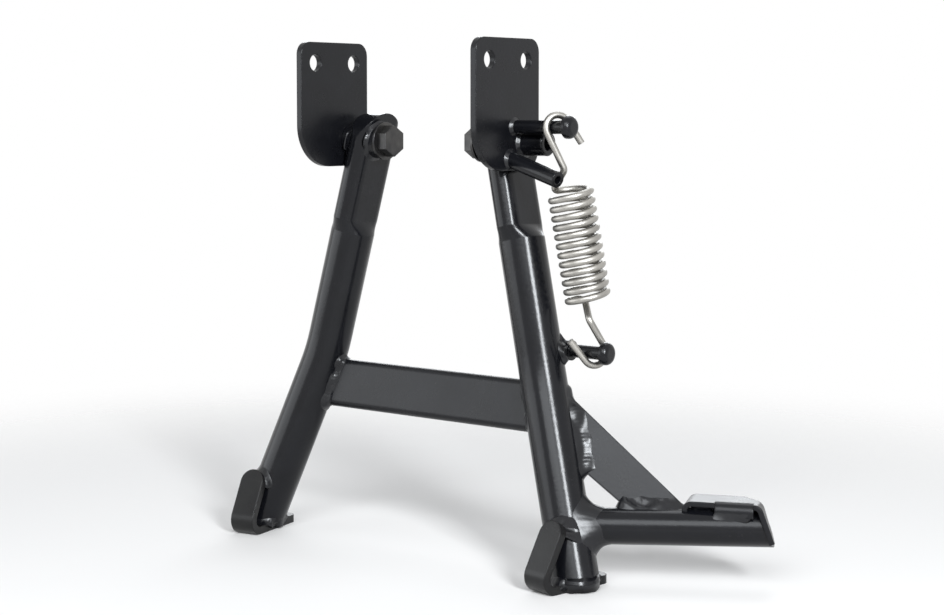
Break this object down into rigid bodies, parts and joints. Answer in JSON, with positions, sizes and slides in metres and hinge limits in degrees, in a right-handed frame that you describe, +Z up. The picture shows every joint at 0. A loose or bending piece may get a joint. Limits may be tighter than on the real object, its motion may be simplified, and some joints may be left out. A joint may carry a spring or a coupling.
{
  "type": "motorcycle centre stand",
  "caption": "Tubular steel centre stand for a small motorcycle, with pivot brackets, return spring, feet and a side foot lever with a tread plate.",
  "frame": {"origin": "middle of the pivot axis, halfway between the two brackets", "axes": "+X to the left of the machine along the pivot axis, +Y to the rear, +Z up; the stand is modelled lowered, with its feet at the ground"},
  "size_m": [0.3632, 0.1054, 0.3165],
  "materials": {
    "black_enamel": "gloss black enamel",
    "dark_bolt_steel": "black oxide",
    "bronze": "plain bearing bronze",
    "spring_wire": "satin drawn wire"
  },
  "bodies": {
    "frame_mount": {"bracket_left": "black_enamel", "bracket_right": "black_enamel", "pivot_boss_left": "black_enamel", "pivot_boss_right": "black_enamel", "pivot_bolt_left": "dark_bolt_steel", "pivot_bolt_right": "dark_bolt_steel", "pivot_washer_left": "dark_bolt_steel", "pivot_washer_right": "dark_bolt_steel", "spring_post_upper": "black_enamel", "side_peg": "black_enamel"},
    "stand": {"leg_left": "black_enamel", "leg_right": "black_enamel", "pivot_sleeve_left": "black_enamel", "pivot_sleeve_right": "black_enamel", "pivot_bush_left": "bronze", "pivot_bush_right": "bronze", "cross_brace": "black_enamel", "foot_left": "black_enamel", "foot_right": "black_enamel", "lever_tube": "black_enamel", "lever_gusset": "black_enamel", "tread_plate": "black_enamel", "spring_post_lower": "black_enamel"},
    "spring": {"return_spring": "spring_wire"}
  },
  "joints": [
    {"name": "stand_swing", "type": "hinge", "parent": "frame_mount", "child": "stand", "pos_m": [0, 0, 0], "axis": [1, 0, 0], "range_deg": [0, 85]},
    {"name": "spring_swing", "type": "hinge", "parent": "frame_mount", "child": "spring", "pos_m": [0, -0.01003, 0.00977], "axis": [1, 0, 0], "range_deg": [0, 77], "deforming": ["return_spring"]}
  ],
  "couplings": [
    {"joint": "spring_swing", "follows": "stand_swing", "ratio": 0.9043}
  ]
}
